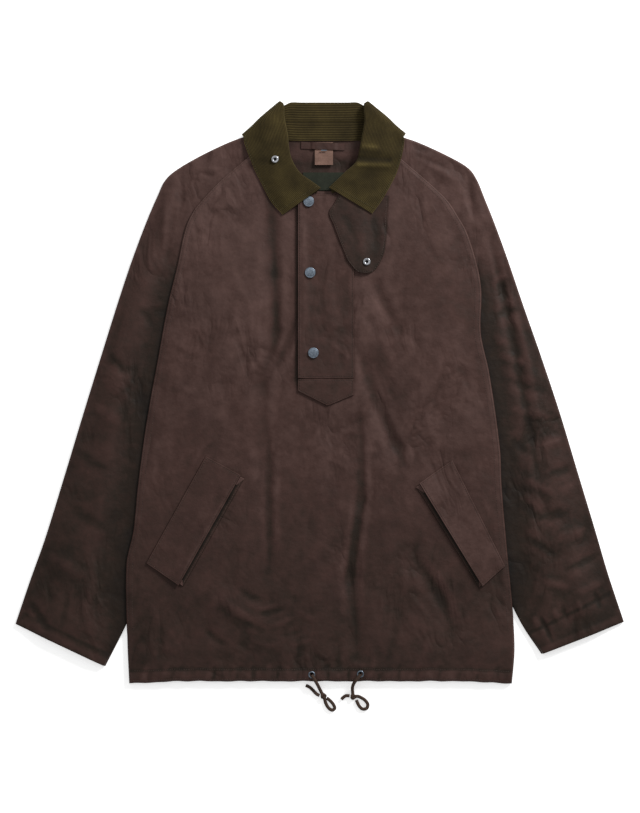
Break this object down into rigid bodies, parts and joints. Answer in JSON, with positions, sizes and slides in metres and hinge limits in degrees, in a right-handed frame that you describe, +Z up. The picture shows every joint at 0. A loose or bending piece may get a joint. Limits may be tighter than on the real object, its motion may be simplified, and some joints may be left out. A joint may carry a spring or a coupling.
{
  "type": "waxed cotton pullover jacket, laid flat",
  "caption": "Waxed cotton half-placket pullover jacket laid flat, with a corduroy collar, throat tab, welt pockets and a hem drawcord.",
  "frame": {"origin": "middle of the jacket's outline without its drawcord ends, on the surface that it lies on", "axes": "+X across the jacket to the wearer's left sleeve, +Y from the hem to the collar, +Z up from the surface"},
  "size_m": [0.8532, 0.8552, 0.018],
  "materials": {
    "waxed_cotton": "satin",
    "corduroy": "matte",
    "webbing": "matte",
    "label_cloth": "matte",
    "gunmetal": "satin",
    "nickel": "satin",
    "cord": "matte"
  },
  "bodies": {
    "root": {"front": "waxed_cotton", "back": "waxed_cotton", "sleeve_right": "waxed_cotton", "sleeve_left": "waxed_cotton", "collar_stand": "corduroy", "collar_fall": "corduroy", "placket": "waxed_cotton", "placket_point": "waxed_cotton", "throat_tab": "waxed_cotton", "pocket_welt_right": "waxed_cotton", "pocket_welt_left": "waxed_cotton", "pocket_facing_right": "waxed_cotton", "pocket_facing_left": "waxed_cotton", "snap_cap_1": "gunmetal", "snap_cap_2": "gunmetal", "snap_cap_3": "gunmetal", "snap_socket_collar": "nickel", "snap_socket_tab": "nickel", "hem_eyelet_right": "gunmetal", "hem_eyelet_left": "gunmetal", "hanger_loop": "waxed_cotton", "hanger_webbing": "webbing", "hanger_bar": "gunmetal", "neck_label": "label_cloth", "drawcord_right_strand": "cord", "drawcord_right_knot": "cord", "drawcord_right_loop": "cord", "drawcord_right_tail": "cord", "drawcord_left_strand": "cord", "drawcord_left_knot": "cord", "drawcord_left_loop": "cord", "drawcord_left_tail": "cord"}
  },
  "joints": []
}
